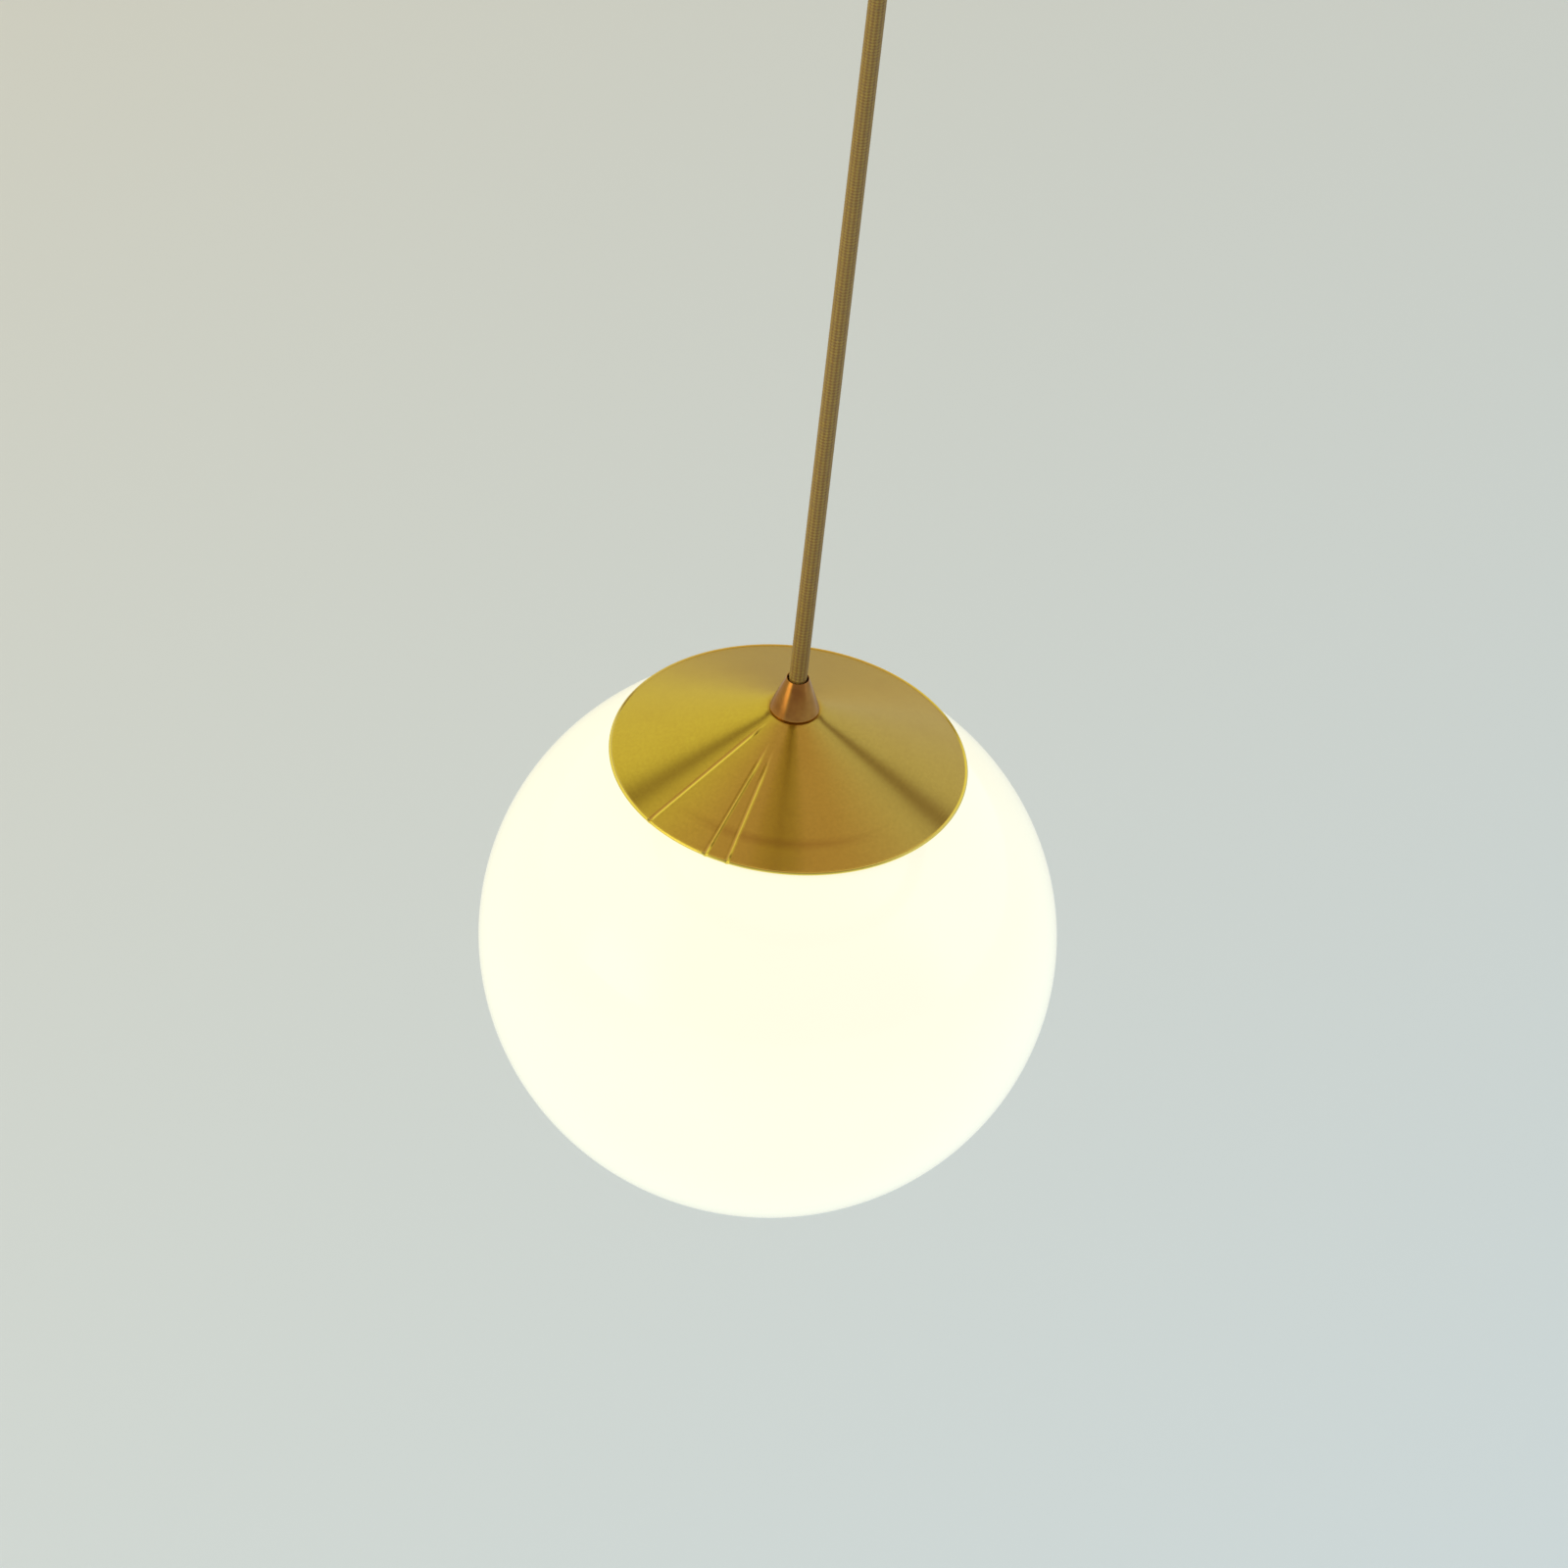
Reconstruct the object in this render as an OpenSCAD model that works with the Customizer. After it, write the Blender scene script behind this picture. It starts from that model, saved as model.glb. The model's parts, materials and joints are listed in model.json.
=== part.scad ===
// Pendant ceiling light: a canopy and its bracket, a textile cord between two conical cord grips,
// a shallow brass cap, an opal glass globe held by three leaf springs, and an E27 lampholder with its bulb.
// The origin is on the ceiling, at the middle of the bracket's face; +Z is up and the lamp hangs below.

/* [Hanging] */
// Height from the ceiling down to the middle of the globe
drop = 490; // [420:10:900]
// Diameter of the textile cord
cord_d = 6.2; // [5.8:0.1:6.4]

/* [Globe] */
// Diameter of the glass globe at its middle
globe_d = 200; // [196:1:206]
// Height of the globe as a share of its diameter, were it not cut off at the top
globe_flatness = 0.96; // [0.95:0.005:0.98]
// Wall of the glass
glass_t = 3; // [2.5:0.1:3.5]
// Diameter of the opening at the top of the globe
mouth_d = 108; // [106:0.5:110]

/* [Brass cap] */
// Diameter of the cap over its rim
cap_d = 123.4; // [120:0.2:128]
// Rise of the cap from its rim to its flat seat
cap_rise = 22.3; // [21.5:0.1:24]
// Gap between the cap's rim and the glass below it
cap_gap = 3.5; // [3.2:0.1:4.5]
// Thickness of the spun brass
cap_t = 0.9; // [0.8:0.05:1]

/* [Cord grips] */
// Diameter of a grip at its base
grip_base_d = 17.3; // [16.8:0.1:18.4]
// Diameter of a grip at its mouth, where the cord comes out
grip_mouth_d = 7.8; // [7.6:0.1:8.2]
// Height of a grip
grip_h = 13.5; // [13:0.5:16]

/* [Canopy] */
// Diameter of the ceiling canopy
canopy_d = 100; // [96:1:120]
// Height of the canopy's straight wall
canopy_wall_h = 28; // [26:1:36]
// Distance between the two ceiling screws
screw_spacing = 60; // [58:1:64]

/* [Hidden] */
$fn = 64;

// Colours
BRASS = "#b8932f";
COPPER = "#7d5532";
STEEL = "#b9bcc0";
TEXTILE = "#8a703a";
OPAL = "#fffde6";
BLACK = "#26241f";
BROWN_WIRE = "#6b3f22";
BLUE_WIRE = "#2c5fa8";
EARTH_WIRE = "#7fae34";

// Threads, screws and running room
thread_r = 5;             // M10 x 1 nipple
thread_bore_r = 5.05;
nipple_bore_r = 3.6;
nut_flats = 14;
nut_h = 3;
washer_r = 9;
washer_t = 1;
grub_r = 1.45;
grub_hole_r = 1.5;
m4_r = 1.95;
m4_hole_r = 2;
cord_r = cord_d / 2;
cord_bore_r = 3.4;
cut = 1;                  // how far a cutting shape runs past a face

// Heights in the globe's own frame, whose zero is the middle of the globe
glass_rx = globe_d / 2;
glass_rz = glass_rx * globe_flatness;
mouth_r = mouth_d / 2;
cap_r = cap_d / 2;
seat_r = 9.5;
lip_z = ellipse_z(mouth_r, glass_rx, glass_rz);
rim_z = ellipse_z(cap_r, glass_rx, glass_rz) + cap_gap;
seat_z = rim_z + cap_rise;
gallery_t = 1.2;
gallery_z = lip_z + 1.5;
gallery_arm_r = 47.5;
holder_z = gallery_z;     // top of the lampholder, which bears on the gallery
rivet_x = 42.5;
spring_t = 0.5;
spring_w = 9;
arm_angles = [90, 210, 330];
neck_l = 6;               // stretch of cord that flexes next to each grip
sheath_end_z = holder_z - 12.3;
insulator_z = holder_z - 24.1;
terminal_places = [[-8, 0], [8, 0], [0, 8]];
bulb_tip_z = holder_z - 25.4;

// Heights in the ceiling's frame
canopy_r = canopy_d / 2;
canopy_t = 1.2;
canopy_seat_z = -canopy_wall_h - 5;
top_mouth_z = canopy_seat_z - grip_h;
lamp_mouth_z = seat_z + grip_h - drop;
cord_gap = 0.02;          // between the cord's bottom neck and its end in the lamp
bracket_t = 1.5;
ear_x = canopy_r - canopy_t - 1.6;
ear_z = 18;
side_screw_z = -10;
slot_w = 4.5;
slot_l = 12;
block_y = 15;
block_l = 16;
pole_pitch = 10;
pole_z = -8;
canopy_sheath_z = -22;

// The cord's route, from the neck under the canopy grip to the neck over the lamp's grip.
// Its first and last points follow the two grips, and the ones between hang straight down.
CORD_ROUTE = concat(
    [[0, 0, top_mouth_z - neck_l]],
    [for (z = [top_mouth_z - 20 : -15 : lamp_mouth_z + 14]) [0, 0, z]],
    [[0, 0, lamp_mouth_z + neck_l]]
);
CANOPY_WIRE_ROUTE = [
    [1.4, 0, -22], [2, 0.4, -19], [4.5, 3.2, -14.5], [8, 8, -10], [10, 12.5, -8.2], [10, 16, -8], [10, 20, -8]
];
EARTH_WIRE_ROUTE = [
    [0, 1.4, -22], [0, 1.6, -19], [0, 3.6, -14.5], [0, 8, -10], [0, 12.5, -8.2], [0, 16, -8], [0, 20, -8]
];
LAMP_WIRE_ROUTE = [[1.4, 0, 0], [1.5, 0, -2], [2.4, 0, -3.7], [4, 0, -4.5], [5.75, 0, -4.6]];
SPRING_ROUTE = [
    [39, -0.25], [46.2, -0.25], [47.5, -0.9], [49.3, -3.2], [51.5, -5.7], [53.8, -8],
    [55.2, -9.7], [55.9, -11.3], [55.7, -12.9], [54.3, -15], [52, -17.4], [50.8, -18.4]
];

// Height of an ellipse's upper half at the radius r
function ellipse_z(r, rx, rz) = rz * sqrt(max(0, 1 - (r / rx) * (r / rx)));
// Points of an ellipse's arc about [0, z], from one angle to another
function arc_points(rx, rz, from, to, steps, z = 0) =
    [for (i = [0 : steps]) let (a = from + (to - from) * i / steps) [rx * cos(a), z + rz * sin(a)]];
function reversed(list) = [for (i = [len(list) - 1 : -1 : 0]) list[i]];
function unit(v) = v / norm(v);
function heading(points, i) = unit(points[min(i + 1, len(points) - 1)] - points[max(i - 1, 0)]);
// Points of a smooth curve through the given ones
function curve_point(a, b, c, d, t) =
    0.5 * (2 * b + (c - a) * t + (2 * a - 5 * b + 4 * c - d) * t * t + (3 * b - a - 3 * c + d) * t * t * t);
function smooth(points, steps) = concat(
    [for (i = [0 : len(points) - 2], s = [0 : steps - 1])
        curve_point(points[max(i - 1, 0)], points[i], points[i + 1], points[min(i + 2, len(points) - 1)], s / steps)],
    [points[len(points) - 1]]
);
// Both sides of a strip of the given thickness along a flat path
function strip_outline(points, t) = concat(
    [for (i = [0 : len(points) - 1]) let (h = heading(points, i)) points[i] + [-h[1], h[0]] * t / 2],
    reversed([for (i = [0 : len(points) - 1]) let (h = heading(points, i)) points[i] + [h[1], -h[0]] * t / 2])
);

// Puts its children in the globe's own frame
module at_globe() {
    translate([0, 0, -drop]) children();
}

module tube(r_out, r_in, h) {
    difference() {
        cylinder(r = r_out, h = h);
        translate([0, 0, -cut]) cylinder(r = r_in, h = h + 2 * cut);
    }
}

// A round rod of 8 or more sides swept along a route, square to its ends
module swept_rod(route, r, sides, side_axis) {
    last = len(route) - 1;
    rings = [for (i = [0 : last])
        let (h = heading(route, i), u = unit(cross(h, side_axis)), v = cross(h, u))
        for (s = [0 : sides - 1]) route[i] + r * (u * cos(360 * s / sides) + v * sin(360 * s / sides))];
    walls = [for (i = [0 : last - 1], s = [0 : sides - 1])
        let (n = (s + 1) % sides, a = i * sides, b = a + sides) [a + s, a + n, b + n, b + s]];
    start = [for (s = [sides - 1 : -1 : 0]) s];
    end = [for (s = [0 : sides - 1]) last * sides + s];
    polyhedron(points = rings, faces = concat(walls, [start, end]));
}

module hex_nut() {
    difference() {
        cylinder(r = nut_flats / 2 / cos(30), h = nut_h, $fn = 6);
        translate([0, 0, -cut]) cylinder(r = thread_bore_r, h = nut_h + 2 * cut);
    }
}

// A conical cord grip standing on its base, with a blind M10 bore below and the cord's bore above
module cord_grip() {
    base_r = grip_base_d / 2;
    mouth_r = grip_mouth_d / 2;
    difference() {
        rotate_extrude() polygon([
            [thread_bore_r, 0], [base_r - 0.2, 0], [base_r, 0.3], [base_r, 0.9],
            [mouth_r, grip_h - 0.15], [mouth_r - 0.15, grip_h], [cord_bore_r + 0.15, grip_h],
            [cord_bore_r, grip_h - 0.8], [cord_bore_r, 6.6], [thread_bore_r, 5.5]
        ]);
        grip_screw_place() cylinder(r = grub_hole_r, h = base_r);
    }
}

// The grip's clamping screw lies across it, behind the cord
module grip_screw_place() {
    translate([0, 0, 8.6]) rotate([-90, 0, 0]) children();
}

module grip_screw() {
    slot_depth = 0.6;
    grip_screw_place() translate([0, 0, cord_r + 0.1]) difference() {
        cylinder(r = grub_r, h = 2.3);
        translate([-0.25, -2, 2.3 - slot_depth]) cube([0.5, 4, 1]);
    }
}

// A slotted pan head with its flat under-side on z = 0, facing up
module pan_head(r, h) {
    difference() {
        rotate_extrude() polygon(concat([[0, 0]], arc_points(r, h, 0, 90, 8)));
        translate([-r, -0.4, h * 0.55]) cube([2 * r, 0.8, h]);
    }
}

// ---- On the ceiling ----

module ceiling_bracket() color(STEEL) {
    width = 16;
    difference() {
        union() {
            translate([-ear_x, -width / 2, -bracket_t]) cube([2 * ear_x, width, bracket_t]);
            translate([-9, 0, -bracket_t]) cube([18, block_y + block_l + 1, bracket_t]);
            for (side = [-1, 1]) {
                translate([side * (ear_x - bracket_t / 2), 0, -ear_z / 2])
                    cube([bracket_t, width, ear_z], center = true);
            }
        }
        for (side = [-1, 1]) {
            translate([side * screw_spacing / 2, 0, -bracket_t / 2]) screw_slot();
            translate([side * ear_x, 0, side_screw_z]) rotate([0, 90, 0])
                cylinder(r = m4_hole_r, h = 10, center = true);
        }
        translate([0, 0, -bracket_t - cut]) cylinder(r = 6, h = bracket_t + 2 * cut);
        translate([16.5, 0, -bracket_t - cut]) cylinder(r = m4_hole_r, h = bracket_t + 2 * cut);
        translate([5, block_y + block_l / 2, -bracket_t - cut]) cylinder(r = grub_hole_r, h = bracket_t + 2 * cut);
    }
}

module screw_slot() {
    straight = slot_l - slot_w;
    cube([straight, slot_w, bracket_t + 2 * cut], center = true);
    for (end = [-1, 1]) {
        translate([end * straight / 2, 0, 0]) cylinder(r = slot_w / 2, h = bracket_t + 2 * cut, center = true);
    }
}

module ceiling_canopy() color(BRASS) {
    bend = 3;
    outer_bend = [for (p = arc_points(bend, bend, 0, -83, 6)) [canopy_r - bend + p[0], -canopy_wall_h + bend + p[1]]];
    inner_bend = [for (p = arc_points(bend - canopy_t, bend - canopy_t, -83, 0, 5))
        [canopy_r - bend + p[0], -canopy_wall_h + bend + p[1]]];
    difference() {
        rotate_extrude() polygon(concat(
            [[canopy_r, 0]], outer_bend, [[seat_r, canopy_seat_z], [thread_bore_r + 0.15, canopy_seat_z]],
            [[thread_bore_r + 0.15, canopy_seat_z + canopy_t], [seat_r, canopy_seat_z + canopy_t]],
            inner_bend, [[canopy_r - canopy_t, 0]]
        ));
        translate([0, 0, side_screw_z]) rotate([0, 90, 0])
            cylinder(r = m4_hole_r + 0.2, h = canopy_d + 2, center = true);
    }
}

module canopy_side_screws() color(BRASS) {
    for (side = [-1, 1]) {
        translate([side * canopy_r, 0, side_screw_z]) rotate([0, side * 90, 0]) {
            pan_head(3.6, 2.2);
            translate([0, 0, -6]) cylinder(r = m4_r, h = 6);
        }
    }
}

module earth_screw() color(STEEL) {
    translate([16.5, 0, 0]) {
        translate([0, 0, -bracket_t]) cylinder(r = m4_r, h = bracket_t);
        translate([0, 0, -bracket_t]) rotate([180, 0, 0]) {
            cylinder(r = 4.4, h = 0.8);
            translate([0, 0, 0.8]) pan_head(3.6, 2.2);
        }
    }
}

module terminal_block() color(OPAL) {
    height = -pole_z + 5 - bracket_t;
    difference() {
        translate([-15, block_y, pole_z - 5]) cube([30, block_l, height]);
        for (pole = [-1 : 1]) {
            translate([pole * pole_pitch, block_y + block_l / 2, pole_z]) rotate([90, 0, 0])
                cylinder(r = 3, h = block_l + 2 * cut, center = true);
            for (y = [4, 12]) {
                translate([pole * pole_pitch, block_y + y, pole_z - 5 - cut]) cylinder(r = 2.1, h = 5);
            }
        }
        for (between = [-1, 1]) {
            translate([between * pole_pitch / 2, block_y + block_l / 2, pole_z - 5 - cut])
                cylinder(r = 1.6, h = height + 2 * cut);
            translate([between * pole_pitch / 2, block_y + block_l / 2, pole_z - 5 - cut])
                cylinder(r = 1.9, h = 3 + cut);
        }
    }
}

module terminal_sleeves() color(BRASS) {
    for (pole = [-1 : 1]) {
        translate([pole * pole_pitch, block_y + 1, pole_z]) difference() {
            rotate([-90, 0, 0]) tube(2.95, 1.7, block_l - 2);
            for (y = [3, 11]) {
                translate([0, y, -4]) cylinder(r = 1.3, h = 4);
            }
        }
    }
}

module terminal_screws() color(STEEL) {
    for (pole = [-1 : 1], y = [4, 12]) {
        translate([pole * pole_pitch, block_y + y, pole_z - 4.6]) difference() {
            union() {
                cylinder(r = 1.25, h = 3.4);
                cylinder(r = 1.9, h = 1.4);
            }
            translate([-2, -0.25, -0.1]) cube([4, 0.5, 0.7]);
        }
    }
}

module terminal_block_screw() color(STEEL) {
    head_z = pole_z - 2;
    translate([pole_pitch / 2, block_y + block_l / 2, 0]) difference() {
        union() {
            translate([0, 0, head_z]) cylinder(r = 1.4, h = -head_z - 0.3);
            translate([0, 0, head_z - 1.6]) cylinder(r = 1.8, h = 1.6);
        }
        translate([-2, -0.25, head_z - 1.7]) cube([4, 0.5, 0.8]);
    }
}

module canopy_nipple() color(STEEL) {
    translate([0, 0, canopy_seat_z - 4.5]) tube(thread_r, nipple_bore_r, 11);
}

module canopy_washer() color(STEEL) {
    translate([0, 0, canopy_seat_z + canopy_t]) tube(washer_r, thread_bore_r, washer_t);
}

module canopy_nut() color(STEEL) {
    translate([0, 0, canopy_seat_z + canopy_t + washer_t]) hex_nut();
}

module canopy_cord_grip() color(COPPER) {
    translate([0, 0, canopy_seat_z]) mirror([0, 0, 1]) cord_grip();
}

module canopy_grip_screw() color(STEEL) {
    translate([0, 0, canopy_seat_z]) mirror([0, 0, 1]) grip_screw();
}

// One insulated wire from the end of the cord's sheath to a pole of the terminal block
module canopy_wire(route) {
    swept_rod(smooth(route, 3), 1, 8, [1, 0, 0]);
}

module canopy_wire_brown() color(BROWN_WIRE) {
    canopy_wire([for (p = CANOPY_WIRE_ROUTE) [-p[0], p[1], p[2]]]);
}

module canopy_wire_blue() color(BLUE_WIRE) {
    canopy_wire(CANOPY_WIRE_ROUTE);
}

module canopy_wire_earth() color(EARTH_WIRE) {
    canopy_wire(EARTH_WIRE_ROUTE);
}

// ---- The cord ----

module cord_canopy_end() color(TEXTILE) {
    translate([0, 0, top_mouth_z]) cylinder(r = cord_r, h = canopy_sheath_z - top_mouth_z);
}

module cord_neck_top() color(TEXTILE) {
    translate([0, 0, top_mouth_z - neck_l]) cylinder(r = cord_r, h = neck_l);
}

module cord() color(TEXTILE) {
    swept_rod(CORD_ROUTE, cord_r, 12, [1, 0, 0]);
}

module cord_neck_bottom() color(TEXTILE) {
    translate([0, 0, lamp_mouth_z]) cylinder(r = cord_r, h = neck_l);
}

module cord_lamp_end() color(TEXTILE) {
    translate([0, 0, sheath_end_z - drop]) cylinder(r = cord_r, h = lamp_mouth_z + drop - sheath_end_z - cord_gap);
}

// ---- The lamp's head ----

module lamp_cord_grip() color(COPPER) {
    at_globe() translate([0, 0, seat_z]) cord_grip();
}

module lamp_grip_screw() color(STEEL) {
    at_globe() translate([0, 0, seat_z]) grip_screw();
}

// A shallow cone spun from sheet, flat where the grip stands and turned down at its rim
module brass_cap() color(BRASS) {
    drop_t = cap_t / cos(atan(cap_rise / (cap_r - seat_r)));
    at_globe() rotate_extrude() polygon([
        [thread_bore_r + 0.15, seat_z], [seat_r, seat_z], [cap_r - 0.5, rim_z + 0.1], [cap_r, rim_z - 0.3],
        [cap_r, rim_z - 0.7], [cap_r - 0.7, rim_z - 0.85], [cap_r - 1, rim_z - 0.55],
        [seat_r, seat_z - drop_t], [thread_bore_r + 0.15, seat_z - drop_t]
    ]);
}

module cap_washer() color(STEEL) {
    at_globe() translate([0, 0, seat_z - 1 - washer_t]) tube(washer_r, thread_bore_r, washer_t);
}

module cap_nut() color(BRASS) {
    at_globe() translate([0, 0, seat_z - 1 - washer_t - nut_h]) hex_nut();
}

module lamp_nipple() color(BRASS) {
    bottom = holder_z - 5.8;
    at_globe() translate([0, 0, bottom]) tube(thread_r, nipple_bore_r, seat_z + 4.5 - bottom);
}

// A three-armed plate that carries the springs
module gallery_plate() color(STEEL) {
    arm_w = 10;
    at_globe() translate([0, 0, gallery_z]) difference() {
        union() {
            cylinder(r = 14, h = gallery_t);
            for (a = arm_angles) {
                rotate([0, 0, a]) translate([0, -arm_w / 2, 0]) cube([gallery_arm_r, arm_w, gallery_t]);
            }
        }
        translate([0, 0, -cut]) cylinder(r = thread_bore_r, h = gallery_t + 2 * cut);
        for (a = arm_angles) {
            rotate([0, 0, a]) translate([rivet_x, 0, -cut]) cylinder(r = 1.25, h = gallery_t + 2 * cut);
        }
    }
}

module gallery_nut() color(BRASS) {
    at_globe() translate([0, 0, gallery_z + gallery_t]) hex_nut();
}

// A bent strip that passes down through the globe's mouth and bulges out under its lip
module leaf_spring(angle) color(STEEL) {
    at_globe() translate([0, 0, gallery_z]) rotate([0, 0, angle]) difference() {
        translate([0, spring_w / 2, 0]) rotate([90, 0, 0]) linear_extrude(height = spring_w)
            polygon(strip_outline(SPRING_ROUTE, spring_t));
        translate([rivet_x, 0, -cut]) cylinder(r = 1.25, h = 2 * cut);
    }
}

module leaf_spring_1() leaf_spring(arm_angles[0]);

module leaf_spring_2() leaf_spring(arm_angles[1]);

module leaf_spring_3() leaf_spring(arm_angles[2]);

module spring_rivets() color(STEEL) {
    at_globe() translate([0, 0, gallery_z]) for (a = arm_angles) {
        rotate([0, 0, a]) translate([rivet_x, 0, 0]) {
            translate([0, 0, -spring_t - 0.1]) cylinder(r = 1.2, h = gallery_t + spring_t + 0.2);
            translate([0, 0, gallery_t]) cylinder(r1 = 2.2, r2 = 1.6, h = 0.7);
            translate([0, 0, -spring_t]) mirror([0, 0, 1]) cylinder(r1 = 2.2, r2 = 1.6, h = 0.7);
        }
    }
}

// ---- The lampholder ----

module holder_cap() color(BLACK) {
    top = holder_z;
    at_globe() rotate_extrude() polygon(concat(
        [[thread_bore_r, top], [8, top], [8.5, top - 0.5], [8.5, top - 4]],
        [for (p = arc_points(11, 8, 90, 0, 8)) [8.5 + p[0], top - 13 + p[1]]],
        [[19.5, top - 21.7], [17.4, top - 21.7], [17.4, top - 14]],
        [for (p = arc_points(8.9, 6, 0, 90, 6)) [8.5 + p[0], top - 13 + p[1]]],
        [[thread_bore_r, top - 7]]
    ));
}

// The skirt: a tube whose neck fits up inside the cap, with a ledge for the insulator
module holder_body() color(BLACK) {
    top = holder_z - 15.8;
    shoulder = holder_z - 21.8;
    mouth = holder_z - 53.8;
    at_globe() rotate_extrude() polygon([
        [17.3, top], [17.3, shoulder], [19.5, shoulder], [19.5, mouth + 1.5], [18.8, mouth],
        [15.6, mouth], [15, mouth + 1.5], [15, insulator_z - 1.3], [14.2, insulator_z - 1.3],
        [14.2, insulator_z], [15, insulator_z], [15, top]
    ]);
}

module holder_insulator() color("#e9e4d8") {
    at_globe() translate([0, 0, insulator_z]) difference() {
        cylinder(r = 14.9, h = 6);
        for (p = terminal_places) {
            translate([p[0], p[1], 2]) cylinder(r = 1.5, h = 6);
        }
    }
}

module holder_thread_shell() color(BRASS) {
    at_globe() translate([0, 0, insulator_z - 26]) tube(14, 13.5, 26);
}

// A bent strip that springs down onto the tip of the bulb
module centre_contact() color(BRASS) {
    route = [[7, -0.2], [2.5, -0.2], [-0.5, -0.6], [-3, -0.75], [-5, -0.5]];
    at_globe() translate([0, 3, insulator_z]) rotate([90, 0, 0])
        linear_extrude(height = 6) polygon(strip_outline(route, 0.4));
}

module holder_terminal_screws() color(BRASS) {
    for (p = terminal_places) {
        at_globe() translate([p[0], p[1], insulator_z]) {
            translate([0, 0, 3]) cylinder(r = grub_r, h = 3);
            translate([0, 0, 6]) pan_head(2.2, 1.8);
        }
    }
}

// One insulated wire from the end of the cord's sheath to a terminal of the holder
module lamp_wire(angle) {
    at_globe() translate([0, 0, sheath_end_z]) rotate([0, 0, angle])
        swept_rod(smooth(LAMP_WIRE_ROUTE, 3), 0.9, 8, [0, 1, 0]);
}

module lamp_wire_brown() color(BROWN_WIRE) {
    lamp_wire(180);
}

module lamp_wire_blue() color(BLUE_WIRE) {
    lamp_wire(0);
}

module lamp_wire_earth() color(EARTH_WIRE) {
    lamp_wire(90);
}

// ---- The globe ----

// A flattened ball of even wall, cut off where the mouth is
module glass_globe() color(OPAL) {
    inner_rx = glass_rx - glass_t;
    inner_rz = glass_rz - glass_t;
    outer_stop = acos(mouth_r / glass_rx);
    inner_stop = acos(mouth_r / inner_rx);
    at_globe() rotate_extrude($fn = 96) polygon(concat(
        arc_points(glass_rx, glass_rz, -90, outer_stop, 20),
        arc_points(inner_rx, inner_rz, inner_stop, -90, 20)
    ));
}

// A silicone ring over the cut edge, between the glass and the brass
module rim_gasket() color("#d9d4c4") {
    inner_lip_z = ellipse_z(mouth_r, glass_rx - glass_t, glass_rz - glass_t);
    flange_r = mouth_r + 1.4;
    flange_z = ellipse_z(flange_r, glass_rx, glass_rz);
    at_globe() rotate_extrude() polygon([
        [mouth_r - 0.8, inner_lip_z - 0.7], [mouth_r, inner_lip_z - 0.5], [mouth_r, lip_z + 0.02],
        [flange_r, flange_z + 0.02], [flange_r, flange_z + 0.4], [mouth_r + 0.2, lip_z + 0.35],
        [mouth_r - 0.8, lip_z + 0.35]
    ]);
}

// ---- The bulb ----

// Puts its children in the bulb's frame: zero at the tip contact, with the bulb hanging below
module at_bulb() {
    at_globe() translate([0, 0, bulb_tip_z]) children();
}

module bulb_base_shell() color(STEEL) {
    at_bulb() rotate_extrude() polygon([
        [11, -4.5], [11.5, -4.5], [13.1, -7], [13.1, -26.4], [12.7, -26.4], [12.7, -7.2], [11, -5]
    ]);
}

module bulb_insulator() color(BLACK) {
    at_bulb() rotate_extrude() polygon([[0, -5.2], [10.9, -5.2], [10.9, -4.4], [5.6, -1.6], [0, -1.6]]);
}

module bulb_contact() color(STEEL) {
    at_bulb() rotate_extrude() polygon([[0, -1.5], [5.4, -1.5], [4.8, -0.7], [2.5, 0], [0, 0]]);
}

module bulb_collar() color("#f0efe9") {
    at_bulb() rotate_extrude() polygon([
        [12.6, -23], [12.6, -26.5], [13.4, -26.5], [15, -29], [22.6, -45], [24.5, -53.8],
        [22.9, -53.8], [22.9, -52.2], [21.2, -52.2], [21, -45.5], [13.4, -29.5], [11.2, -26.5], [11.2, -23]
    ]);
}

// The disc that the light-emitting chips sit on
module bulb_led_board() color("#f4f2ea") {
    chips = 8;
    at_bulb() {
        translate([0, 0, -53.8]) cylinder(r = 22.8, h = 1.6);
        for (i = [0 : chips - 1]) {
            rotate([0, 0, 360 * i / chips]) translate([14, 0, -54.6]) cube([3, 3, 1.6], center = true);
        }
    }
}

// The driver's board stands in the collar, across its middle
module bulb_driver_board() color("#3f6b3a") {
    at_bulb() {
        translate([-8, -0.8, -51.5]) cube([16, 1.6, 38]);
        translate([0, 4.5, -44]) cylinder(r = 3.5, h = 12);
        translate([-5, -5, -40]) cube([9, 4.3, 8]);
    }
}

// An opal dome: half a ball below its widest ring, and a longer curve up to the collar
module bulb_envelope() color(OPAL) {
    wide_r = 30;
    wide_z = -78;
    upper_rz = 41.6;
    wall = 1.2;
    stop = asin((-54 - wide_z) / upper_rz);
    at_bulb() rotate_extrude() polygon(concat(
        arc_points(wide_r, wide_r, -90, 0, 16, wide_z),
        arc_points(wide_r, upper_rz, stop / 8, stop, 7, wide_z),
        arc_points(wide_r - wall, upper_rz, stop, stop / 8, 7, wide_z),
        arc_points(wide_r - wall, wide_r - wall, 0, -90, 16, wide_z)
    ));
}

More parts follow.
